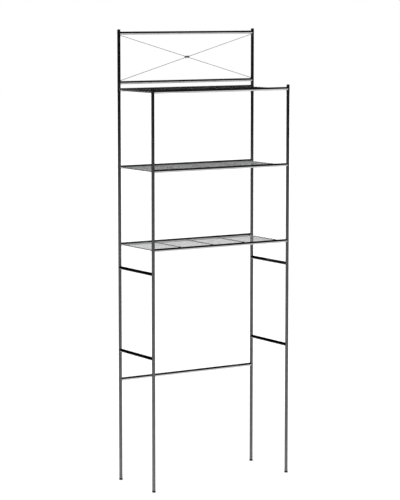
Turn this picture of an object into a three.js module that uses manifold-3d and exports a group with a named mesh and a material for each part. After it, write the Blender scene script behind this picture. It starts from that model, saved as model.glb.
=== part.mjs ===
// Over-the-toilet storage rack: two tube side frames joined by three wire shelves,
// a low back stretcher and a braced back panel above the top shelf.
// Millimetres, +Z up. The origin is on the floor at the centre of the four feet,
// the front faces -Y and +X is the rack's right-hand side seen from the front.
import * as THREE from "three";
import { mergeVertices } from "three/addons/utils/BufferGeometryUtils.js";
import Module from "manifold-3d";

const wasm = await Module();
wasm.setup();

// ---- Driving dimensions ----------------------------------------------------

const RACK_HEIGHT = 1727;
const FRONT_POST_HEIGHT = 1516;
const POST_PITCH_X = 607;
const POST_PITCH_Y = 243.5;

const TUBE_RADIUS = 6;
const TUBE_WALL = 1;
const TUBE_BORE = TUBE_RADIUS - TUBE_WALL;

const TOP_SHELF_Z = 1500.5;
const MIDDLE_SHELF_Z = 1208.5;
const BOTTOM_SHELF_Z = 914.5;
const PANEL_TOP_RAIL_Z = 1712.5;
const PANEL_BOTTOM_RAIL_Z = 1527;
const UPPER_RUNG_Z = 825;
const LOWER_RUNG_Z = 507;
const STRETCHER_Z = 393.5;

const GAP = 0.3; // kept between every two pieces that touch

const POST_JOINT_Z = 870;
const JOINT_PIN_LENGTH = 56;
const JOINT_PIN_WALL = 1.2;

const FOOT_RADIUS = 6.6;
const FOOT_HEIGHT = 7;
const FOOT_CHAMFER = 0.7;
const CAP_HEAD_HEIGHT = 2;
const CAP_EDGE = 0.6;
const CAP_PLUG_LENGTH = 8;
const FOOT_PLUG_LENGTH = 14;

const RAIL_INSERT_DEPTH = 16; // solid threaded end of a rail
const SCREW_SHANK_RADIUS = 1.7;
const SCREW_HEAD_RADIUS = 3.2;
const SCREW_HEAD_RIM = 0.25;
const SCREW_HEAD_CONE = 1.5;
const SCREW_HEAD_SINK = 0.15; // how far the head sits below the tube's outermost line
const SCREW_REACH = 12; // into the rail's insert
const SOCKET_RADIUS = 1.4;
const SOCKET_DEPTH = 1.4;

const SHELF_WIRE_RADIUS = 1;
const SHELF_WIRE_COUNT = 10;
const SHELF_WIRE_OVERHANG = 6; // past the end cross wires
const CROSS_WIRE_RADIUS = 1.6;
const CROSS_WIRE_DROP = 3.2; // below the rails' centre line
const END_WIRE_INSET = 14; // from the posts' centre line
const CROSS_WIRE_COUNT = 5; // evenly spaced, the end ones included
const WELD_DEPTH = 0.3;

const BRACE_RADIUS = 1.1;
const BRACE_CORNER_DROP = 8; // from the rail's centre line at each corner
const CLIP_RADIUS = 4.6;
const CLIP_LENGTH = 18;

const TUBE_SIDES = 16;
const SMALL_SIDES = 8;
const WIRE_SIDES = 6;

// ---- Materials -------------------------------------------------------------

const chrome = () =>
  new THREE.MeshStandardMaterial({ color: 0x8e8f92, roughness: 0.12, metalness: 1 });
const wireChrome = () =>
  new THREE.MeshStandardMaterial({ color: 0xa3a4a6, roughness: 0.18, metalness: 1 });
const screwSteel = () =>
  new THREE.MeshStandardMaterial({ color: 0x6c6d70, roughness: 0.3, metalness: 1 });
const blackPlastic = () =>
  new THREE.MeshStandardMaterial({ color: 0x161617, roughness: 0.5, metalness: 0 });

// ---- Solids ----------------------------------------------------------------

function solidOf(geometry) {
  const bare = geometry.clone();
  bare.deleteAttribute("normal");
  bare.deleteAttribute("uv");
  const merged = mergeVertices(bare, 1e-4);
  return new wasm.Manifold(
    new wasm.Mesh({
      numProp: 3,
      vertProperties: merged.attributes.position.array,
      triVerts: new Uint32Array(merged.index.array),
    }),
  );
}

function geometryOf(solid) {
  const { vertProperties, triVerts } = solid.getMesh();
  const indexed = new THREE.BufferGeometry();
  indexed.setAttribute("position", new THREE.BufferAttribute(vertProperties, 3));
  indexed.setIndex(new THREE.BufferAttribute(triVerts, 1));
  const geometry = indexed.toNonIndexed();
  geometry.computeVertexNormals();
  return geometry;
}

// A round bar between two points, as a solid.
function bar(radius, from, to, sides) {
  const start = new THREE.Vector3(...from);
  const end = new THREE.Vector3(...to);
  const run = new THREE.Vector3().subVectors(end, start);
  const geometry = new THREE.CylinderGeometry(radius, radius, run.length(), sides);
  const turn = new THREE.Quaternion().setFromUnitVectors(
    new THREE.Vector3(0, 1, 0),
    run.clone().normalize(),
  );
  geometry.applyQuaternion(turn);
  geometry.translate(...start.add(end).multiplyScalar(0.5).toArray());
  return solidOf(geometry);
}

// A turned piece: the profile is [radius, height] points, upwards from the axis back to the axis.
function turned(profile, sides) {
  const points = profile.map(([radius, height]) => new THREE.Vector2(radius, height));
  const geometry = new THREE.LatheGeometry(points, sides);
  geometry.rotateX(Math.PI / 2);
  return geometry;
}

// The turned shape's axis moves from +Z to +X.
function turnedAlongX(profile, sides) {
  return turned(profile, sides).rotateY(Math.PI / 2);
}

// ---- Side frame pieces -----------------------------------------------------

// The hole through a left-hand post for one rail screw: countersunk on the outer (-X) side.
function screwHole(height) {
  const entry = SCREW_HEAD_RADIUS + GAP;
  const passage = SCREW_SHANK_RADIUS + GAP;
  const coneStart = -TUBE_RADIUS + SCREW_HEAD_SINK + SCREW_HEAD_RIM;
  const hole = turnedAlongX(
    [
      [0, -TUBE_RADIUS - 1],
      [entry, -TUBE_RADIUS - 1],
      [entry, coneStart],
      [passage, coneStart + SCREW_HEAD_CONE],
      [passage, TUBE_RADIUS + 1],
      [0, TUBE_RADIUS + 1],
    ],
    SMALL_SIDES,
  );
  hole.translate(0, 0, height);
  return solidOf(hole);
}

// A left-hand post tube from z = bottom to z = top, with screw holes at the given heights.
function postTube(bottom, top, holeHeights) {
  const shell = bar(TUBE_RADIUS, [0, 0, bottom], [0, 0, top], TUBE_SIDES);
  const bore = bar(TUBE_BORE, [0, 0, bottom - 1], [0, 0, top + 1], TUBE_SIDES);
  let tube = shell.subtract(bore);
  for (const height of holeHeights) {
    tube = tube.subtract(screwHole(height));
  }
  return geometryOf(tube);
}

// A tube along X whose two ends are notched round posts that stand a pitch apart.
function notchedTube(pitch, boreReach) {
  const half = pitch / 2;
  const outside = bar(TUBE_RADIUS, [-half, 0, 0], [half, 0, 0], TUBE_SIDES);
  const inside = bar(TUBE_BORE, [-boreReach, 0, 0], [boreReach, 0, 0], TUBE_SIDES);
  let tube = outside.subtract(inside);
  for (const x of [-half, half]) {
    const notch = bar(TUBE_RADIUS + GAP, [x, 0, -3 * TUBE_RADIUS], [x, 0, 3 * TUBE_RADIUS], TUBE_SIDES);
    tube = tube.subtract(notch);
  }
  return tube;
}

function rungTube() {
  return geometryOf(notchedTube(POST_PITCH_Y, POST_PITCH_Y));
}

// A rail has a solid insert at each end, drilled through for the screw.
function railTube() {
  const hollowReach = POST_PITCH_X / 2 - TUBE_RADIUS - GAP - RAIL_INSERT_DEPTH;
  const drill = bar(
    SCREW_SHANK_RADIUS + GAP,
    [-POST_PITCH_X, 0, 0],
    [POST_PITCH_X, 0, 0],
    SMALL_SIDES,
  );
  return geometryOf(notchedTube(POST_PITCH_X, hollowReach).subtract(drill));
}

function jointPin() {
  const outer = TUBE_BORE - GAP;
  const half = JOINT_PIN_LENGTH / 2;
  const shell = bar(outer, [0, 0, -half], [0, 0, half], TUBE_SIDES);
  const bore = bar(outer - JOINT_PIN_WALL, [0, 0, -half - 1], [0, 0, half + 1], SMALL_SIDES);
  return geometryOf(shell.subtract(bore));
}

// The foot stands on z = 0 and its plug goes up into the leg.
function footCap() {
  const plug = TUBE_BORE - GAP;
  return turned(
    [
      [0, 0],
      [FOOT_RADIUS - FOOT_CHAMFER, 0],
      [FOOT_RADIUS, FOOT_CHAMFER],
      [FOOT_RADIUS, FOOT_HEIGHT],
      [plug, FOOT_HEIGHT],
      [plug, FOOT_HEIGHT + FOOT_PLUG_LENGTH],
      [0, FOOT_HEIGHT + FOOT_PLUG_LENGTH],
    ],
    TUBE_SIDES,
  );
}

// The cap's flat top is at z = 0 and its plug goes down into the post.
function topCap() {
  const plug = TUBE_BORE - GAP;
  return turned(
    [
      [0, -CAP_HEAD_HEIGHT - CAP_PLUG_LENGTH],
      [plug, -CAP_HEAD_HEIGHT - CAP_PLUG_LENGTH],
      [plug, -CAP_HEAD_HEIGHT],
      [TUBE_RADIUS, -CAP_HEAD_HEIGHT],
      [TUBE_RADIUS, -CAP_EDGE],
      [TUBE_RADIUS - CAP_EDGE, 0],
      [0, 0],
    ],
    TUBE_SIDES,
  );
}

// A countersunk screw on the X axis, as it sits in a left-hand post whose axis is at x = 0.
function railScrew() {
  const face = -TUBE_RADIUS + SCREW_HEAD_SINK;
  const tip = TUBE_RADIUS + GAP + SCREW_REACH;
  const body = turnedAlongX(
    [
      [0, face],
      [SCREW_HEAD_RADIUS, face],
      [SCREW_HEAD_RADIUS, face + SCREW_HEAD_RIM],
      [SCREW_SHANK_RADIUS, face + SCREW_HEAD_RIM + SCREW_HEAD_CONE],
      [SCREW_SHANK_RADIUS, tip],
      [0, tip],
    ],
    SMALL_SIDES,
  );
  const socket = bar(SOCKET_RADIUS, [face - 1, 0, 0], [face + SOCKET_DEPTH, 0, 0], 6);
  return geometryOf(solidOf(body).subtract(socket));
}

// ---- Shelf and back panel pieces -------------------------------------------

// The welded wire deck of one shelf: thin wires along X lie on cross wires along Y.
// Its z = 0 is the rails' centre line.
function wireDeck() {
  const endX = POST_PITCH_X / 2 - END_WIRE_INSET;
  const crossSpacing = (2 * endX) / (CROSS_WIRE_COUNT - 1);
  const crossZ = -CROSS_WIRE_DROP;
  const longZ = crossZ + CROSS_WIRE_RADIUS + SHELF_WIRE_RADIUS - WELD_DEPTH;
  const longReach = endX + SHELF_WIRE_OVERHANG;
  const railY = POST_PITCH_Y / 2;
  const spacing = POST_PITCH_Y / (SHELF_WIRE_COUNT + 1);

  const wires = [];
  for (let i = 0; i < CROSS_WIRE_COUNT; i += 1) {
    const x = -endX + i * crossSpacing;
    wires.push(bar(CROSS_WIRE_RADIUS, [x, -railY, crossZ], [x, railY, crossZ], WIRE_SIDES));
  }
  for (let i = 1; i <= SHELF_WIRE_COUNT; i += 1) {
    const y = -railY + i * spacing;
    wires.push(bar(SHELF_WIRE_RADIUS, [-longReach, y, longZ], [longReach, y, longZ], WIRE_SIDES));
  }
  let deck = wires.reduce((joined, wire) => joined.add(wire));
  for (const y of [-railY, railY]) {
    const railRoom = bar(TUBE_RADIUS + GAP, [-POST_PITCH_X, y, 0], [POST_PITCH_X, y, 0], TUBE_SIDES);
    deck = deck.subtract(railRoom);
  }
  return geometryOf(deck);
}

const BRACE_RISE = PANEL_TOP_RAIL_Z - PANEL_BOTTOM_RAIL_Z - 2 * BRACE_CORNER_DROP;
const BRACE_RUN = POST_PITCH_X - 2 * (TUBE_RADIUS + 2 * GAP);
const BRACE_OFFSET_Y = BRACE_RADIUS + GAP / 2; // the two rods pass each other at the centre

// One brace rod of the back panel, about the panel's centre. direction is 1 when it rises to the right.
function braceRod(radius, direction) {
  const y = -direction * BRACE_OFFSET_Y;
  const rise = (direction * BRACE_RISE) / 2;
  return bar(radius, [-BRACE_RUN / 2, y, -rise], [BRACE_RUN / 2, y, rise], SMALL_SIDES);
}

// The short level sleeve that holds the two rods where they cross.
function braceClip() {
  const half = CLIP_LENGTH / 2;
  let clip = bar(CLIP_RADIUS, [-half, 0, 0], [half, 0, 0], TUBE_SIDES);
  for (const direction of [1, -1]) {
    clip = clip.subtract(braceRod(BRACE_RADIUS + GAP, direction));
  }
  return geometryOf(clip);
}

// ---- Assembly --------------------------------------------------------------

const rack = new THREE.Group();

function place(parent, name, geometry, material, position = [0, 0, 0], turn = 0) {
  const mesh = new THREE.Mesh(geometry, material);
  mesh.name = name;
  mesh.position.set(...position);
  mesh.rotation.z = turn;
  parent.add(mesh);
}

const SIDES = [
  { name: "left", x: -POST_PITCH_X / 2, turn: 0 },
  { name: "right", x: POST_PITCH_X / 2, turn: Math.PI },
];
const ROWS = [
  { name: "front", y: -POST_PITCH_Y / 2, top: FRONT_POST_HEIGHT },
  { name: "back", y: POST_PITCH_Y / 2, top: RACK_HEIGHT },
];
const SHELVES = [
  { name: "top_shelf", z: TOP_SHELF_Z },
  { name: "middle_shelf", z: MIDDLE_SHELF_Z },
  { name: "bottom_shelf", z: BOTTOM_SHELF_Z },
];
const RUNGS = [
  { name: "upper", z: UPPER_RUNG_Z },
  { name: "lower", z: LOWER_RUNG_Z },
];
const BACK_RAILS = [
  { name: "back_panel_top_rail", z: PANEL_TOP_RAIL_Z },
  { name: "back_panel_bottom_rail", z: PANEL_BOTTOM_RAIL_Z },
  { name: "back_stretcher", z: STRETCHER_Z },
];

// Every X rail, with the row of posts that it joins.
const RAILS = [];
for (const row of ROWS) {
  for (const shelf of SHELVES) {
    RAILS.push({ name: `${shelf.name}_${row.name}_rail`, row, z: shelf.z });
  }
}
for (const rail of BACK_RAILS) {
  RAILS.push({ ...rail, row: ROWS[1] });
}

// Side frames: legs, posts, their joints, caps and feet, and the welded rungs.
for (const side of SIDES) {
  for (const row of ROWS) {
    const column = new THREE.Group();
    column.position.set(side.x, row.y, 0);
    column.rotation.z = side.turn;
    rack.add(column);

    const corner = `${row.name}_${side.name}`;
    const holes = RAILS.filter((rail) => rail.row === row).map((rail) => rail.z);
    const lowHoles = holes.filter((z) => z < POST_JOINT_Z);
    const highHoles = holes.filter((z) => z > POST_JOINT_Z);
    const legTop = POST_JOINT_Z - GAP / 2;
    const postBottom = POST_JOINT_Z + GAP / 2;
    const postTop = row.top - CAP_HEAD_HEIGHT - GAP;

    place(column, `${corner}_foot`, footCap(), blackPlastic());
    place(column, `${corner}_leg`, postTube(FOOT_HEIGHT + GAP, legTop, lowHoles), chrome());
    place(column, `${corner}_joint_pin`, jointPin(), screwSteel(), [0, 0, POST_JOINT_Z]);
    place(column, `${corner}_post`, postTube(postBottom, postTop, highHoles), chrome());
    place(column, `${corner}_top_cap`, topCap(), blackPlastic(), [0, 0, row.top]);
  }
  for (const rung of RUNGS) {
    const position = [side.x, 0, rung.z];
    place(rack, `${side.name}_${rung.name}_rung`, rungTube(), chrome(), position, Math.PI / 2);
  }
}

// Rails, each with a screw through the post at either end.
for (const rail of RAILS) {
  place(rack, rail.name, railTube(), chrome(), [0, rail.row.y, rail.z]);
  for (const side of SIDES) {
    const position = [side.x, rail.row.y, rail.z];
    place(rack, `${rail.name}_${side.name}_screw`, railScrew(), screwSteel(), position, side.turn);
  }
}

for (const shelf of SHELVES) {
  place(rack, `${shelf.name}_wire_deck`, wireDeck(), wireChrome(), [0, 0, shelf.z]);
}

const backPanel = new THREE.Group();
backPanel.position.set(0, POST_PITCH_Y / 2, (PANEL_TOP_RAIL_Z + PANEL_BOTTOM_RAIL_Z) / 2);
rack.add(backPanel);
place(backPanel, "brace_rod_rising", geometryOf(braceRod(BRACE_RADIUS, 1)), wireChrome());
place(backPanel, "brace_rod_falling", geometryOf(braceRod(BRACE_RADIUS, -1)), wireChrome());
place(backPanel, "brace_clip", braceClip(), wireChrome());

export default rack;
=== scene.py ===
"""Over-the-toilet storage rack: fine meshes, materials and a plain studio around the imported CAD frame."""

import math
import random

import bmesh
import bpy
from mathutils import Matrix, Vector


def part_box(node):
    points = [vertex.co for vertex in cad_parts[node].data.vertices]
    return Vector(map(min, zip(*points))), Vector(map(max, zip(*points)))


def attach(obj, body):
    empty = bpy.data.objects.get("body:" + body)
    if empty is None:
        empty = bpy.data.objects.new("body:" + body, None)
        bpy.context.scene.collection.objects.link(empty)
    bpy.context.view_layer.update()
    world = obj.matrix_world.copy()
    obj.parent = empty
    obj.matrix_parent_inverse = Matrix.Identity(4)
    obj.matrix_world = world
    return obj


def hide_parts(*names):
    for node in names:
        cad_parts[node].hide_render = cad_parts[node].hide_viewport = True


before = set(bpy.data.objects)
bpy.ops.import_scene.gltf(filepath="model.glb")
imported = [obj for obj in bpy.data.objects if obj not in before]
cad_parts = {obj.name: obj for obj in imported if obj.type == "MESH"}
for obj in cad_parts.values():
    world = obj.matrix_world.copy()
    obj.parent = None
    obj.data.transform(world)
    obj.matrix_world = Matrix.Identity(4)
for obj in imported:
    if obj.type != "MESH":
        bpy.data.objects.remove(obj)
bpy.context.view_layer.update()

MM = 0.001
rng = random.Random(417)

# ---- Sizes (metres) ----------------------------------------------------------

ROUND = 48  # sides of every tube
GAP = 0.3 * MM  # between pieces that touch
TUBE_WALL = 1.0 * MM
EDGE = 0.25 * MM  # rounding of a tube's cut end
STEADY = 0.4 * MM  # a ring this far from a rounded edge keeps the long faces' shading true

HOLE_COLUMNS = 16  # of the tube's sides taken by the patch round a screw hole
HOLE_ROWS = 8
HOLE_HALF = 6.0 * MM  # half the patch's height
HOLE_EDGE = 0.16 * MM
HOLE_CLEARANCE = 0.3 * MM
HOLE_INNER_SHRINK = 0.6 * MM

SCREW_SHANK = 1.7 * MM
SOCKET_RADIUS = 1.5 * MM  # to the hexagon's corners
SOCKET_DEPTH = 1.4 * MM
SCREW_CONE = 1.5 * MM
SCREW_RIM = 0.34 * MM  # depth of the head's rounded rim
PLAIN_SHANK = 5.0 * MM  # from the face to the first groove
GROOVES = 7  # round the shank, in place of a thread
GROOVE_DEPTH = 0.28 * MM
RAIL_DRILLING = 13.0 * MM

WELD_RIPPLES = 17
WELD_STEPS = 56

WIRE_RADIUS = 1.0 * MM
WIRE_COUNT = 10
WIRE_OVERHANG = 6.0 * MM
CROSS_RADIUS = 1.6 * MM
CROSS_DROP = 3.2 * MM
WELD_SINK = 0.3 * MM
WIRE_WAVER = 0.16 * MM  # how far a long wire strays sideways
WIRE_BLUNT = 0.3 * MM
RAIL_WELD = (2.25 * MM, 1.15 * MM, 2.0 * MM)  # half sizes of a nugget
CROSSING_WELD = (1.9 * MM, 1.55 * MM, 0.75 * MM)
BRACE_WELD = (0.85 * MM, 1.5 * MM, 1.9 * MM)

SIDES = {"left": -1, "right": 1}
ROWS = ("front", "back")
SHELVES = ("top_shelf", "middle_shelf", "bottom_shelf")
BACK_RAILS = ("back_panel_top_rail", "back_panel_bottom_rail", "back_stretcher")


def centre(node):
    low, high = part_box(node)
    return (low + high) / 2


def size(node):
    low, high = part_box(node)
    return high - low


R = size("front_left_post").x / 2  # the tubes' outer radius
BORE = R - TUBE_WALL

# ---- Mesh tools --------------------------------------------------------------


class Shape:
    """Collects rings of points and the faces between them."""

    def __init__(self):
        self.points = []
        self.faces = []

    def ring(self, points):
        first = len(self.points)
        self.points.extend(Vector(p) for p in points)
        return list(range(first, len(self.points)))

    def loft(self, *rings):
        for a, b in zip(rings, rings[1:]):
            for i in range(len(a)):
                j = (i + 1) % len(a)
                self.faces.append((a[i], a[j], b[j], b[i]))

    def fan(self, ring, apex):
        (tip,) = self.ring([apex])
        for i in range(len(ring)):
            self.faces.append((ring[i], ring[(i + 1) % len(ring)], tip))

    def lathe(self, profile, to_world, sides=ROUND):
        """A closed turned shape. profile is (radius, height) from the axis back to the axis."""
        rings = []
        for radius, height in profile[1:-1]:
            rings.append(self.ring(to_world @ p for p in circle(radius, height, sides)))
        self.loft(*rings)
        self.fan(rings[0], to_world @ Vector((0, 0, profile[0][1])))
        self.fan(rings[-1], to_world @ Vector((0, 0, profile[-1][1])))

    def sweep(self, path, radii, sides, closed=False, across=None):
        """A round bar along a list of points, with a radius at each. across steadies its sides."""
        count = len(path)
        rings = []
        for k, point in enumerate(path):
            before = path[(k - 1) % count] if closed or k else point
            after = path[(k + 1) % count] if closed or k < count - 1 else point
            along = (after - before).normalized()
            hint = across[k] if across else steady_across(along)
            u = (hint - along * hint.dot(along)).normalized()
            v = along.cross(u)
            rings.append(
                self.ring(
                    point + (u * math.cos(t) + v * math.sin(t)) * radii[k]
                    for t in turns(sides)
                )
            )
        self.loft(*rings)
        if closed:
            self.loft(rings[-1], rings[0])
        else:
            self.fan(rings[0], path[0])
            self.fan(rings[-1], path[-1])

    def blob(self, middle, radii, around=10, stacked=7, wobble=0.0):
        """A closed egg shape, such as a weld nugget."""
        profile_rings = []
        for k in range(1, stacked):
            polar = math.pi * k / stacked
            profile_rings.append(
                self.ring(
                    middle
                    + Vector(
                        (
                            radii[0] * math.sin(polar) * math.cos(t),
                            radii[1] * math.sin(polar) * math.sin(t),
                            radii[2] * math.cos(polar),
                        )
                    )
                    * (1 + wobble * math.sin(3 * t + 5 * polar + middle.x * 900))
                    for t in turns(around)
                )
            )
        self.loft(*profile_rings)
        self.fan(profile_rings[0], middle + Vector((0, 0, radii[2])))
        self.fan(profile_rings[-1], middle - Vector((0, 0, radii[2])))


def turns(count):
    return [2 * math.pi * i / count for i in range(count)]


def circle(radius, height, sides):
    return [Vector((radius * math.cos(t), radius * math.sin(t), height)) for t in turns(sides)]


def steady_across(along):
    return Vector((0, 0, 1)) if abs(along.z) < 0.9 else Vector((1, 0, 0))


def rounded(corners, steps=4):
    """A (radius, height) path through the corners, each (radius, height, rounding)."""
    path = []
    for k, (x, y, rounding) in enumerate(corners):
        here = Vector((x, y))
        if not rounding or k in (0, len(corners) - 1):
            path.append((x, y))
            continue
        back = (Vector(corners[k - 1][:2]) - here).normalized()
        on = (Vector(corners[k + 1][:2]) - here).normalized()
        start, end = here + back * rounding, here + on * rounding
        bend = [
            start * (1 - t) ** 2 + here * 2 * t * (1 - t) + end * t**2
            for t in (i / steps for i in range(steps + 1))
        ]
        if (Vector(corners[k - 1][:2]) - here).length > 3 * rounding + 2 * STEADY:
            bend.insert(0, start + back * STEADY)
        if (Vector(corners[k + 1][:2]) - here).length > 3 * rounding + 2 * STEADY:
            bend.append(end + on * STEADY)
        path += [(p.x, p.y) for p in bend]
    return path


def build(name, shape, material, nodes, crease=38):
    """Makes the piece that stands for the CAD nodes, riding on the rack's one body."""
    mesh = bpy.data.meshes.new(name)
    work = bmesh.new()
    verts = [work.verts.new(p) for p in shape.points]
    for face in shape.faces:
        work.faces.new([verts[i] for i in face])
    bmesh.ops.recalc_face_normals(work, faces=work.faces)
    work.to_mesh(mesh)
    work.free()
    mesh.shade_smooth()
    mesh.set_sharp_from_angle(angle=math.radians(crease))
    mesh.materials.append(material)
    piece = bpy.data.objects.new(name, mesh)
    bpy.context.scene.collection.objects.link(piece)
    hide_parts(*nodes)
    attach(piece, "root")
    return piece


# ---- Materials ---------------------------------------------------------------


class Nodes:
    """A material's node tree with short calls for the nodes used here."""

    def __init__(self, name):
        self.material = bpy.data.materials.new(name)
        self.material.use_nodes = True
        self.tree = self.material.node_tree
        self.shader = self.tree.nodes["Principled BSDF"]
        self.place = self.node("ShaderNodeTexCoord").outputs["Object"]

    def node(self, kind, **settings):
        made = self.tree.nodes.new(kind)
        for key, value in settings.items():
            setattr(made, key, value)
        return made

    def link(self, source, target):
        self.tree.links.new(source, target)

    def noise(self, scale, detail=3.0, rough=0.5, stretch=(1, 1, 1), distortion=0.0):
        mapping = self.node("ShaderNodeMapping")
        mapping.inputs["Scale"].default_value = stretch
        self.link(self.place, mapping.inputs["Vector"])
        noise = self.node("ShaderNodeTexNoise")
        noise.inputs["Scale"].default_value = scale
        noise.inputs["Detail"].default_value = detail
        noise.inputs["Roughness"].default_value = rough
        noise.inputs["Distortion"].default_value = distortion
        self.link(mapping.outputs["Vector"], noise.inputs["Vector"])
        return noise.outputs["Fac"]

    def ramp(self, source, *stops):
        ramp = self.node("ShaderNodeValToRGB")
        elements = ramp.color_ramp.elements
        while len(elements) < len(stops):
            elements.new(0.5)
        for element, (position, colour) in zip(elements, stops):
            element.position = position
            element.color = (*colour, 1)
        self.link(source, ramp.inputs["Fac"])
        return ramp.outputs["Color"]

    def span(self, source, low, high, to_low, to_high):
        span = self.node("ShaderNodeMapRange")
        span.inputs["From Min"].default_value = low
        span.inputs["From Max"].default_value = high
        span.inputs["To Min"].default_value = to_low
        span.inputs["To Max"].default_value = to_high
        self.link(source, span.inputs["Value"])
        return span.outputs["Result"]

    def combine(self, operation, a, b):
        maths = self.node("ShaderNodeMath", operation=operation)
        self.link(a, maths.inputs[0])
        if isinstance(b, float):
            maths.inputs[1].default_value = b
        else:
            self.link(b, maths.inputs[1])
        return maths.outputs["Value"]

    def bump(self, height, strength, distance, under=None):
        bump = self.node("ShaderNodeBump")
        bump.inputs["Strength"].default_value = strength
        bump.inputs["Distance"].default_value = distance
        self.link(height, bump.inputs["Height"])
        if under is not None:
            self.link(under, bump.inputs["Normal"])
        return bump.outputs["Normal"]


def chrome(name, stretch, tone, gloss):
    """Plated tube: cloudy plating, faint polishing lines, a slight orange peel and smudges."""
    n = Nodes(name)
    shader = n.shader
    shader.inputs["Metallic"].default_value = 1.0
    cloud = n.noise(23.0, 4.0, 0.6)
    low, high = tone
    n.link(
        n.ramp(
            cloud,
            (0.30, (low * 0.985, low * 0.995, low * 1.02)),
            (0.70, (high * 1.0, high * 1.0, high * 1.0)),
        ),
        shader.inputs["Base Color"],
    )
    smudge = n.noise(61.0, 5.0, 0.62, distortion=0.6)
    lines = n.noise(1.0, 2.0, 0.5, stretch=stretch)
    rough = n.combine(
        "ADD",
        n.span(smudge, 0.35, 0.75, gloss[0], gloss[1]),
        n.span(lines, 0.35, 0.65, 0.0, 0.025),
    )
    n.link(rough, shader.inputs["Roughness"])
    peel = n.bump(n.noise(620.0, 2.0, 0.5), 0.35, 0.00001)
    n.link(n.bump(lines, 0.25, 0.000008, under=peel), shader.inputs["Normal"])
    return n.material


def screw_steel():
    """Plated grey screws: lighter and darker patches and fine pits."""
    n = Nodes("screw_steel")
    shader = n.shader
    shader.inputs["Metallic"].default_value = 1.0
    patch = n.noise(420.0, 4.0, 0.6)
    n.link(
        n.ramp(patch, (0.3, (0.20, 0.205, 0.215)), (0.7, (0.36, 0.36, 0.365))),
        shader.inputs["Base Color"],
    )
    n.link(n.span(patch, 0.3, 0.7, 0.22, 0.42), shader.inputs["Roughness"])
    n.link(n.bump(n.noise(2600.0, 3.0, 0.6), 0.4, 0.00002), shader.inputs["Normal"])
    return n.material


def black_plastic():
    """Moulded black plastic: fine spark-eroded grain, scuffs and dust."""
    n = Nodes("black_plastic")
    shader = n.shader
    scuff = n.noise(190.0, 5.0, 0.65)
    n.link(
        n.ramp(
            scuff,
            (0.35, (0.0085, 0.0085, 0.009)),
            (0.62, (0.014, 0.014, 0.0145)),
            (0.78, (0.030, 0.030, 0.031)),
        ),
        shader.inputs["Base Color"],
    )
    n.link(n.span(scuff, 0.3, 0.75, 0.38, 0.60), shader.inputs["Roughness"])
    shader.inputs["Specular IOR Level"].default_value = 0.45
    n.link(n.bump(n.noise(3400.0, 2.0, 0.6), 0.5, 0.00004), shader.inputs["Normal"])
    return n.material


TUBE_TONE = (0.57, 0.69)
TUBE_GLOSS = (0.05, 0.12)
chrome_x = chrome("chrome_tube_x", (5, 900, 900), TUBE_TONE, TUBE_GLOSS)
chrome_y = chrome("chrome_tube_y", (900, 5, 900), TUBE_TONE, TUBE_GLOSS)
chrome_z = chrome("chrome_tube_z", (900, 900, 5), TUBE_TONE, TUBE_GLOSS)
wire_chrome = chrome("chrome_wire", (8, 700, 700), (0.64, 0.76), (0.12, 0.22))
clip_chrome = chrome("satin_clip", (8, 700, 700), (0.88, 0.96), (0.74, 0.86))
steel = screw_steel()
plastic = black_plastic()

# ---- Posts and legs ----------------------------------------------------------


# the angles of a pierced tube's sides, with the patch round its holes first and centred on 0
COLUMNS = [2 * math.pi * (i - HOLE_COLUMNS // 2) / ROUND for i in range(ROUND)]


def hole_ring(radius, cylinder, depth, angles):
    """Points (angle round the tube, height, tube radius) of a hole's edge, bored square to the tube."""
    ring = []
    for t in angles:
        y, z = radius * math.cos(t), radius * math.sin(t)
        x = math.sqrt(cylinder**2 - y**2) - depth
        ring.append((math.atan2(y, x), z, math.hypot(x, y)))
    return ring


def pierced_wall(shape, to_world, radius, bottom, top, holes, hole_radius, shares):
    """One wall of a tube, left open at both ends and at the holes. Returns its end rings and hole rings."""
    rows = [bottom, bottom + STEADY]
    bands = []
    for z in sorted(holes):
        start = len(rows)
        rows += [z - HOLE_HALF + 2 * HOLE_HALF * k / HOLE_ROWS for k in range(HOLE_ROWS + 1)]
        bands.append((z, start))
    rows += [top - STEADY, top]
    grid = [
        shape.ring(to_world(angle, z, radius) for angle in COLUMNS)
        for z in rows
    ]
    in_band = {k for _, start in bands for k in range(start, start + HOLE_ROWS)}
    for k in range(len(rows) - 1):
        for i in range(ROUND):
            if k in in_band and i < HOLE_COLUMNS:
                continue
            j = (i + 1) % ROUND
            shape.faces.append((grid[k][i], grid[k][j], grid[k + 1][j], grid[k + 1][i]))
    edges = []
    for z, start in bands:
        stop = start + HOLE_ROWS
        corner = (
            [(i, start) for i in range(HOLE_COLUMNS)]
            + [(HOLE_COLUMNS, k) for k in range(start, stop)]
            + [(i, stop) for i in range(HOLE_COLUMNS, 0, -1)]
            + [(0, k) for k in range(stop, start, -1)]
        )
        outer = [grid[k][i] for i, k in corner]
        places = [(COLUMNS[i], rows[k] - z) for i, k in corner]
        angles = [math.atan2(dz, angle * radius) for angle, dz in places]
        inner = hole_ring(hole_radius, radius, 0.0, angles)
        last = outer
        for share in shares:
            ring = shape.ring(
                to_world(
                    a * share + b[0] * (1 - share),
                    z + dz * share + b[1] * (1 - share),
                    radius,
                )
                for (a, dz), b in zip(places, inner)
            )
            shape.loft(last, ring)
            last = ring
        edges.append((z, angles, last))
    return grid[0], grid[-1], edges


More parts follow.
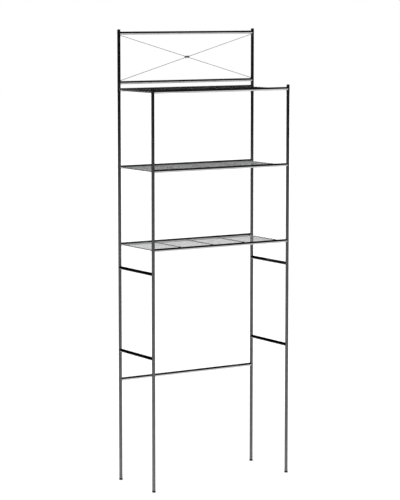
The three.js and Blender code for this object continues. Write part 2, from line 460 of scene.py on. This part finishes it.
def tube_with_holes(axis, outward, bottom, top, holes, hole_radius):
    """A hollow upright tube, its ends rounded and its screw holes countersunk on the outward side."""
    shape = Shape()

    def to_world(angle, z, radius):
        return Vector(
            (
                axis.x + outward * radius * math.cos(angle),
                axis.y + radius * math.sin(angle),
                z,
            )
        )

    low, high, edges = pierced_wall(
        shape, to_world, R, bottom + EDGE, top - EDGE, holes, hole_radius + HOLE_EDGE, (0.66, 0.36, 0.12, 0.0)
    )
    in_low, in_high, in_edges = pierced_wall(
        shape, to_world, BORE, bottom + EDGE, top - EDGE, holes, hole_radius - HOLE_INNER_SHRINK, (0.5, 0.0)
    )

    def level(z, radius):
        return shape.ring(to_world(angle, z, radius) for angle in COLUMNS)

    for wall, inside, end, way in ((low, in_low, bottom, 1), (high, in_high, top, -1)):
        shape.loft(
            wall,
            level(end + way * EDGE * 0.3, R - EDGE * 0.3),
            level(end, R - EDGE),
            level(end, BORE + EDGE * 0.6),
            inside,
        )
    for (z, angles, edge), (_, _, inner_edge) in zip(edges, in_edges):
        rings = [edge]
        for radius, depth in (
            (hole_radius + HOLE_EDGE * 0.3, HOLE_EDGE * 0.3),
            (hole_radius, HOLE_EDGE),
        ):
            points = hole_ring(radius, R, depth, angles)
            rings.append(shape.ring(to_world(a, z + dz, r) for a, dz, r in points))
        shape.loft(*rings, inner_edge)
    return shape


def rails_of(row):
    names = [f"{shelf}_{row}_rail" for shelf in SHELVES]
    return names + list(BACK_RAILS) if row == "back" else names


for row in ROWS:
    for side, outward in SIDES.items():
        corner = f"{row}_{side}"
        screw_head = size(f"top_shelf_{row}_rail_{side}_screw").z / 2
        for part in ("leg", "post"):
            node = f"{corner}_{part}"
            low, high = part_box(node)
            axis = centre(node)
            heights = [centre(rail).z for rail in rails_of(row)]
            holes = [z for z in heights if low.z < z < high.z]
            tube = tube_with_holes(
                axis, outward, low.z, high.z, holes, screw_head + HOLE_CLEARANCE
            )
            build(f"{node}_tube", tube, chrome_z, [node])

# ---- Joint pins, feet and caps -----------------------------------------------


def upright(x, y, z=0.0):
    return Matrix.Translation((x, y, z))


for row in ROWS:
    for side in SIDES:
        corner = f"{row}_{side}"

        node = f"{corner}_joint_pin"
        low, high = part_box(node)
        axis = centre(node)
        pin = Shape()
        outer = (high.x - low.x) / 2
        pin.lathe(
            rounded(
                [
                    (0, low.z, 0),
                    (outer, low.z, 0.8 * MM),
                    (outer, high.z, 0.8 * MM),
                    (0, high.z, 0),
                ]
            ),
            upright(axis.x, axis.y),
        )
        build(f"{node}_sleeve", pin, steel, [node])

        node = f"{corner}_foot"
        low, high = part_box(node)
        axis = centre(node)
        leg_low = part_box(f"{corner}_leg")[0].z
        lip = leg_low - GAP
        radius = (high.x - low.x) / 2
        plug = BORE - GAP
        foot = Shape()
        foot.lathe(
            rounded(
                [
                    (0, 0.35 * MM, 0),
                    (radius * 0.42, 0.35 * MM, 0.2 * MM),
                    (radius * 0.50, 0, 0.15 * MM),
                    (radius - 0.75 * MM, 0, 0.3 * MM),
                    (radius - 0.05 * MM, 0.9 * MM, 0.5 * MM),
                    (radius, lip * 0.42, 0.1 * MM),
                    (radius - 0.18 * MM, lip * 0.46, 0.06 * MM),
                    (radius, lip * 0.50, 0.1 * MM),
                    (radius, lip - 0.1 * MM, 0.55 * MM),
                    (R - 0.25 * MM, lip, 0.1 * MM),
                    (plug, lip, 0.1 * MM),
                    (plug, high.z - 1.0 * MM, 0.5 * MM),
                    (plug - 0.9 * MM, high.z, 0.2 * MM),
                    (0, high.z, 0),
                ]
            ),
            upright(axis.x, axis.y),
        )
        build(f"{node}_plug", foot, plastic, [node])

        node = f"{corner}_top_cap"
        low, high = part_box(node)
        axis = centre(node)
        post_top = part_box(f"{corner}_post")[1].z
        head_low = post_top + GAP
        cap = Shape()
        cap.lathe(
            rounded(
                [
                    (0, low.z, 0),
                    (plug - 0.8 * MM, low.z, 0.2 * MM),
                    (plug, low.z + 1.0 * MM, 0.4 * MM),
                    (plug, head_low, 0.05 * MM),
                    (R, head_low, 0.18 * MM),
                    (R, high.z - 0.75 * MM, 0.5 * MM),
                    (R * 0.80, high.z - 0.12 * MM, 0.6 * MM),
                    (R * 0.45, high.z - 0.02 * MM, 0.6 * MM),
                    (0, high.z, 0),
                ],
                steps=5,
            ),
            upright(axis.x, axis.y),
        )
        build(f"{node}_dome", cap, plastic, [node])

# ---- Rails and rungs ---------------------------------------------------------


def coped(shape, length_half, place, bore_radius, bore_depth, room):
    """A tube about the local X axis whose two ends fit round upright tubes at +-length_half."""

    def end_ring(sign, radius, pull):
        ring = []
        for t in turns(ROUND):
            y, z = radius * math.sin(t), radius * math.cos(t)
            reach = math.sqrt(max((R + room) ** 2 - y**2, 0.0)) + pull
            ring.append(place @ Vector((sign * (length_half - reach), y, z)))
        return shape.ring(ring)

    def bore_ring(sign, radius, depth):
        x = sign * (length_half - R - depth)
        return shape.ring(
            place @ Vector((x, radius * math.sin(t), radius * math.cos(t))) for t in turns(ROUND)
        )

    body = []
    for sign in (-1, 1):
        rings = [
            end_ring(sign, R, EDGE + STEADY),
            end_ring(sign, R, EDGE),
            end_ring(sign, R - EDGE * 0.3, EDGE * 0.3),
            end_ring(sign, R - EDGE, 0.0),
        ]
        shape.loft(*rings)
        body.append(rings[0])
        if bore_radius:
            mouth = end_ring(sign, bore_radius, 0.0)
            deep = bore_ring(sign, bore_radius, bore_depth)
            shape.loft(rings[-1], mouth, deep)
            floor_x = sign * (length_half - R - bore_depth)
            shape.fan(deep, place @ Vector((floor_x, 0, 0)))
        else:
            shape.fan(rings[-1], place @ Vector((sign * (length_half - R - room), 0, 0)))
    shape.loft(*body)


def weld_bead(shape, length_half, place, sign, seed):
    """The bead round the joint between a rung and its post: full in the corners, flat at the sides."""
    path, radii, across = [], [], []
    for t in turns(WELD_STEPS):
        y, z = R * math.sin(t), R * math.cos(t)
        reach = R * abs(math.cos(t))
        path.append(place @ Vector((sign * (length_half - reach), y * 0.985, z * 0.99)))
        full = math.cos(t) ** 2
        ripple = 0.5 + 0.5 * math.sin(WELD_RIPPLES * t + seed)
        radii.append((0.34 + 0.46 * full + 0.09 * ripple) * MM)
        across.append(place.to_3x3() @ Vector((0, math.sin(t), math.cos(t))))
    shape.sweep(path, radii, 10, closed=True, across=across)


post_x = centre("back_right_post").x
post_y = centre("back_right_post").y

for row in ROWS:
    y = centre(f"{row}_left_post").y
    for node in rails_of(row):
        z = centre(node).z
        rail = Shape()
        coped(
            rail,
            post_x,
            Matrix.Translation((0, y, z)),
            SCREW_SHANK + HOLE_CLEARANCE,
            RAIL_DRILLING,
            GAP,
        )
        build(f"{node}_tube", rail, chrome_x, [node])

for side, outward in SIDES.items():
    for level_name in ("upper", "lower"):
        node = f"{side}_{level_name}_rung"
        place = Matrix.Translation((outward * post_x, 0, centre(node).z)) @ Matrix.Rotation(
            math.pi / 2, 4, "Z"
        )
        rung = Shape()
        coped(rung, post_y, place, 0.0, 0.0, GAP)
        for sign in (-1, 1):
            weld_bead(rung, post_y, place, sign, rng.uniform(0, 6))
        build(f"{node}_tube", rung, chrome_y, [node])

# ---- Screws ------------------------------------------------------------------


def hexagon(radius, t):
    """Distance from the centre to a hexagon's side in the direction t."""
    sector = (t % (math.pi / 3)) - math.pi / 6
    return radius * math.cos(math.pi / 6) / math.cos(sector)


def socket_screw(place, head, face, tip, spin):
    """A countersunk screw with a hexagon socket in its face. Local Z points inwards."""
    shape = Shape()

    def ring(radius, depth):
        return shape.ring(place @ p for p in circle(radius, depth, ROUND))

    def hex_ring(radius, depth):
        return shape.ring(
            place
            @ Vector(
                (
                    hexagon(radius, t + spin) * math.cos(t),
                    hexagon(radius, t + spin) * math.sin(t),
                    depth,
                )
            )
            for t in turns(ROUND)
        )

    mouth = hex_ring(SOCKET_RADIUS + 0.12 * MM, face + 0.02 * MM)
    wall_top = hex_ring(SOCKET_RADIUS, face + 0.15 * MM)
    wall_low = hex_ring(SOCKET_RADIUS, face + SOCKET_DEPTH)
    well = ring(SOCKET_RADIUS * 0.55, face + SOCKET_DEPTH + 0.05 * MM)
    shape.fan(well, place @ Vector((0, 0, face + SOCKET_DEPTH + 0.45 * MM)))
    shape.loft(
        well,
        wall_low,
        wall_top,
        mouth,
        ring(head * 0.74, face),
        ring(head - 0.30 * MM, face + 0.03 * MM),
        ring(head - 0.08 * MM, face + 0.10 * MM),
        ring(head, face + 0.24 * MM),
        ring(head - 0.06 * MM, face + SCREW_RIM),
        neck := ring(SCREW_SHANK, face + SCREW_RIM + SCREW_CONE),
    )
    shank = [neck]
    start, end = face + PLAIN_SHANK, tip - 0.8 * MM
    shank.append(ring(SCREW_SHANK, start - 0.2 * MM))
    for k in range(GROOVES):
        a = start + (end - start) * k / GROOVES
        b = start + (end - start) * (k + 0.5) / GROOVES
        shank.append(ring(SCREW_SHANK - GROOVE_DEPTH, a))
        shank.append(ring(SCREW_SHANK, b))
    shank.append(ring(SCREW_SHANK - 0.5 * MM, tip))
    shape.loft(*shank)
    shape.fan(shank[-1], place @ Vector((0, 0, tip)))
    return shape


for row in ROWS:
    for rail in rails_of(row):
        for side, outward in SIDES.items():
            node = f"{rail}_{side}_screw"
            low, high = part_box(node)
            middle = centre(node)
            outer_x = low.x if outward < 0 else high.x
            length = high.x - low.x
            place = Matrix.Translation((outer_x, middle.y, middle.z)) @ Matrix.Rotation(
                -outward * math.pi / 2, 4, "Y"
            )
            screw = socket_screw(
                place, (high.z - low.z) / 2, 0.0, length, rng.uniform(0, math.pi / 3)
            )
            build(f"{node}_socket_head", screw, steel, [node], crease=30)

# ---- Wire decks --------------------------------------------------------------


def wavering(start, end, steps, depth, seed):
    """Points from start to end that stray sideways by up to depth, as a welded wire does."""
    path = []
    for k in range(steps + 1):
        t = k / steps
        off = math.sin(math.pi * t * 4 + seed) * math.sin(math.pi * t)
        rise = math.sin(math.pi * t * 4) ** 2
        point = start.lerp(end, t) + Vector((0, off * depth, rise * depth * 0.5))
        path.append(point)
    return path


def cut_end(path, radii, blunt):
    """Blunts both ends of a wire: the first and last points draw in."""
    first = (path[0] - path[1]).normalized()
    last = (path[-1] - path[-2]).normalized()
    path = [
        path[0],
        path[0] - first * blunt,
        path[0] - first * (blunt + STEADY),
        *path[1:-1],
        path[-1] - last * (blunt + STEADY),
        path[-1] - last * blunt,
        path[-1],
    ]
    radii = [radii[0] * 0.72, radii[0], radii[0], *radii[1:-1], radii[-1], radii[-1], radii[-1] * 0.72]
    return path, radii


for shelf in SHELVES:
    node = f"{shelf}_wire_deck"
    low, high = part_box(node)
    rail_z = centre(f"{shelf}_back_rail").z
    rail_y = centre(f"{shelf}_back_rail").y
    end_x = high.x - WIRE_OVERHANG
    cross_z = rail_z - CROSS_DROP
    long_z = cross_z + CROSS_RADIUS + WIRE_RADIUS - WELD_SINK
    cross_at = [-end_x, -end_x / 2, 0.0, end_x / 2, end_x]
    # the cross wires run up to the rails' inner sides
    meet = rail_y - math.sqrt((R + 0.05 * MM) ** 2 - CROSS_DROP**2)
    deck = Shape()
    for x in cross_at:
        path = [
            Vector((x, -meet + 2 * meet * k / 12, cross_z)) for k in range(13)
        ]
        radii = [CROSS_RADIUS] * len(path)
        deck.sweep(path, radii, 20)
        for sign in (-1, 1):
            deck.blob(
                Vector((x, sign * (meet - 0.3 * MM), cross_z + 0.1 * MM)),
                RAIL_WELD,
                around=16,
                stacked=9,
                wobble=0.05,
            )
    spacing = 2 * rail_y / (WIRE_COUNT + 1)
    for k in range(1, WIRE_COUNT + 1):
        y = -rail_y + k * spacing
        path = wavering(
            Vector((low.x, y, long_z)), Vector((high.x, y, long_z)), 32, WIRE_WAVER, rng.uniform(0, 6)
        )
        path, radii = cut_end(path, [WIRE_RADIUS] * len(path), WIRE_BLUNT)
        deck.sweep(path, radii, 12)
        for x in cross_at:
            deck.blob(
                Vector((x, y, cross_z + CROSS_RADIUS - 0.15 * MM)),
                CROSSING_WELD,
                around=10,
                stacked=6,
                wobble=0.08,
            )
    build(f"{node}_welded", deck, wire_chrome, [node])

# ---- Braces ------------------------------------------------------------------

for name, direction in (("rising", 1), ("falling", -1)):
    node = f"brace_rod_{name}"
    low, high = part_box(node)
    middle = centre(node)
    rod_radius = (high.y - low.y) / 2
    half = Vector(((high.x - low.x) / 2, 0, direction * (high.z - low.z) / 2 - direction * rod_radius))
    rod = Shape()
    path = [middle - half + 2 * half * k / 24 for k in range(25)]
    rod.sweep(path, [rod_radius] * len(path), 16)
    for sign in (-1, 1):
        rod.blob(
            middle + half * sign - Vector((sign * 0.55 * MM, 0, 0)),
            BRACE_WELD,
            around=14,
            stacked=8,
            wobble=0.05,
        )
    build(f"{node}_welded", rod, wire_chrome, [node])

low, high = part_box("brace_clip")
middle = centre("brace_clip")
half = (high.x - low.x) / 2
clip_radius = (high.z - low.z) / 2
mouth = clip_radius * 0.62
clip = Shape()
clip.lathe(
    rounded(
        [
            (0, -half + 0.8 * MM, 0),
            (mouth - 0.5 * MM, -half + 0.6 * MM, 0.2 * MM),
            (mouth, -half, 0.15 * MM),
            (clip_radius - 0.5 * MM, -half, 0.3 * MM),
            (clip_radius, -half + 0.8 * MM, 0.4 * MM),
            (clip_radius, -3.2 * MM, 0.4 * MM),
            (clip_radius - 0.45 * MM, -2.4 * MM, 0.4 * MM),
            (clip_radius - 0.45 * MM, 2.4 * MM, 0.4 * MM),
            (clip_radius, 3.2 * MM, 0.4 * MM),
            (clip_radius, half - 0.8 * MM, 0.4 * MM),
            (clip_radius - 0.5 * MM, half, 0.3 * MM),
            (mouth, half, 0.15 * MM),
            (mouth - 0.5 * MM, half - 0.6 * MM, 0.2 * MM),
            (0, half - 0.8 * MM, 0),
        ]
    ),
    Matrix.Translation(middle) @ Matrix.Rotation(math.pi / 2, 4, "Y"),
)
build("brace_clip_sleeve", clip, clip_chrome, ["brace_clip"])

# ---- Studio ------------------------------------------------------------------

BACKGROUND = 1.0  # radiance of the white behind the rack
FLOOR_WHITE = 1.2  # radiance of the lit floor, slightly over-exposed
FLOOR_ALBEDO = 0.86


def stage_mesh(name, points, faces, material):
    mesh = bpy.data.meshes.new(name)
    mesh.from_pydata(points, [], faces)
    mesh.materials.append(material)
    made = bpy.data.objects.new(name, mesh)
    bpy.context.scene.collection.objects.link(made)
    return made


def glow(name, strength):
    made = bpy.data.materials.new(name)
    made.use_nodes = True
    tree = made.node_tree
    tree.nodes.clear()
    emission = tree.nodes.new("ShaderNodeEmission")
    emission.inputs["Color"].default_value = (1, 1, 1, 1)
    emission.inputs["Strength"].default_value = strength
    output = tree.nodes.new("ShaderNodeOutputMaterial")
    tree.links.new(emission.outputs["Emission"], output.inputs["Surface"])
    return made


def floor_white():
    made = bpy.data.materials.new("floor_white")
    made.use_nodes = True
    shader = made.node_tree.nodes["Principled BSDF"]
    shader.inputs["Base Color"].default_value = (FLOOR_ALBEDO, FLOOR_ALBEDO, FLOOR_ALBEDO, 1)
    shader.inputs["Roughness"].default_value = 0.9
    shader.inputs["Specular IOR Level"].default_value = 0.0
    return made


FLOOR = 30.0
floor = stage_mesh(
    "floor",
    [(-FLOOR, -FLOOR, 0), (FLOOR, -FLOOR, 0), (FLOOR, FLOOR, 0), (-FLOOR, FLOOR, 0)],
    [(0, 1, 2, 3)],
    floor_white(),
)
floor.location.z = -0.0002
floor.visible_glossy = False

dome_points, dome_faces = [], []
DOME_RADIUS, DOME_AROUND, DOME_STACKED = 34.0, 48, 24
for k in range(DOME_STACKED + 1):
    polar = math.pi * k / DOME_STACKED
    for t in turns(DOME_AROUND):
        dome_points.append(
            (
                DOME_RADIUS * math.sin(polar) * math.cos(t),
                DOME_RADIUS * math.sin(polar) * math.sin(t),
                DOME_RADIUS * math.cos(polar),
            )
        )
for k in range(DOME_STACKED):
    for i in range(DOME_AROUND):
        j = (i + 1) % DOME_AROUND
        a, b = k * DOME_AROUND, (k + 1) * DOME_AROUND
        dome_faces.append((a + i, a + j, b + j, b + i))
dome = stage_mesh("backdrop", dome_points, dome_faces, glow("backdrop_white", BACKGROUND))
dome.visible_diffuse = False
dome.visible_glossy = False
dome.visible_transmission = False
dome.visible_volume_scatter = False
dome.visible_shadow = False

world = bpy.data.worlds.new("studio")
bpy.context.scene.world = world
world.use_nodes = True
tree = world.node_tree
tree.nodes.clear()
direction = tree.nodes.new("ShaderNodeTexCoord").outputs["Generated"]
split = tree.nodes.new("ShaderNodeSeparateXYZ")
tree.links.new(direction, split.inputs["Vector"])


def world_ramp(source, stops):
    """A grey ramp over one component of a direction, from -1 to 1."""
    span = tree.nodes.new("ShaderNodeMapRange")
    span.inputs["From Min"].default_value = -1.0
    span.inputs["From Max"].default_value = 1.0
    tree.links.new(source, span.inputs["Value"])
    ramp = tree.nodes.new("ShaderNodeValToRGB")
    elements = ramp.color_ramp.elements
    while len(elements) < len(stops):
        elements.new(0.5)
    for element, (value, tone) in zip(elements, stops):
        element.position = (value + 1.0) / 2.0
        element.color = (tone, tone, tone, 1)
    tree.links.new(span.outputs["Result"], ramp.inputs["Fac"])
    return ramp.outputs["Color"]


# What the chrome sees: a bright floor below and in front, a dark room round it.
height_tone = world_ramp(
    split.outputs["Z"],
    [
        (-1.0, 1.0),
        (-0.60, 1.0),
        (-0.44, 0.90),
        (-0.32, 0.60),
        (-0.25, 0.27),
        (-0.20, 0.18),
        (-0.10, 0.12),
        (-0.06, 0.022),
        (-0.02, 0.007),
        (0.05, 0.006),
        (1.0, 0.02),
    ],
)
depth_tone = world_ramp(
    split.outputs["Y"],
    [(-1.0, 1.0), (0.35, 1.0), (0.62, 0.4), (0.78, 0.04), (1.0, 0.03)],
)
# Upright panels of light and shade from left to right show as streaks on the posts.
side_tone = world_ramp(
    split.outputs["X"],
    [
        (-1.0, 0.70),
        (-0.86, 1.0),
        (-0.66, 1.0),
        (-0.56, 0.45),
        (-0.36, 0.40),
        (-0.24, 1.0),
        (-0.02, 1.0),
        (0.10, 0.45),
        (0.30, 0.45),
        (0.42, 0.74),
        (0.68, 0.74),
        (0.80, 1.0),
        (1.0, 0.70),
    ],
)

PANEL_GAIN = 1.35  # makes up for the side tone of 0.74 where the rails and wires reflect
MIX_A, MIX_B, MIX_RESULT = 6, 7, 2  # the colour sockets of a Mix node


def times(a, b):
    product = tree.nodes.new("ShaderNodeMix")
    product.data_type = "RGBA"
    product.blend_type = "MULTIPLY"
    product.inputs["Factor"].default_value = 1.0
    tree.links.new(a, product.inputs[MIX_A])
    tree.links.new(b, product.inputs[MIX_B])
    return product.outputs[MIX_RESULT]


background = tree.nodes.new("ShaderNodeBackground")
room = times(times(height_tone, depth_tone), side_tone)
tree.links.new(room, background.inputs["Color"])
background.inputs["Strength"].default_value = PANEL_GAIN
output = tree.nodes.new("ShaderNodeOutputWorld")
tree.links.new(background.outputs["Background"], output.inputs["Surface"])

lamp_data = bpy.data.lights.new("overhead_light", "SUN")
lamp_data.angle = math.radians(110)
lamp_data.energy = FLOOR_WHITE * math.pi / FLOOR_ALBEDO
lamp = bpy.data.objects.new("overhead_light", lamp_data)
lamp.location = (0, 0, 6.0)
lamp.visible_camera = False
lamp.visible_glossy = False
bpy.context.scene.collection.objects.link(lamp)

# ---- Camera ------------------------------------------------------------------

CAMERA_AT = Vector((-4.18055, -6.46145, 1.82144))
CAMERA_YAW = math.radians(32.7834)
CAMERA_PITCH = math.radians(6.9404)
FOCAL_PIXELS = 2020.93
FRAME_LONG_SIDE = 500.0

camera_data = bpy.data.cameras.new("camera")
camera_data.sensor_width = 36.0
camera_data.lens = FOCAL_PIXELS / FRAME_LONG_SIDE * camera_data.sensor_width
camera_data.clip_start = 0.05
camera_data.clip_end = 200.0
camera = bpy.data.objects.new("camera", camera_data)
looking = Vector(
    (
        math.sin(CAMERA_YAW) * math.cos(CAMERA_PITCH),
        math.cos(CAMERA_YAW) * math.cos(CAMERA_PITCH),
        -math.sin(CAMERA_PITCH),
    )
)
camera.location = CAMERA_AT
camera.rotation_mode = "QUATERNION"
camera.rotation_quaternion = looking.to_track_quat("-Z", "Y")
bpy.context.scene.collection.objects.link(camera)
bpy.context.scene.camera = camera

view_settings = bpy.context.scene.view_settings
view_settings.view_transform = "Standard"
view_settings.look = "None"
view_settings.exposure = 0.0
view_settings.gamma = 1.0
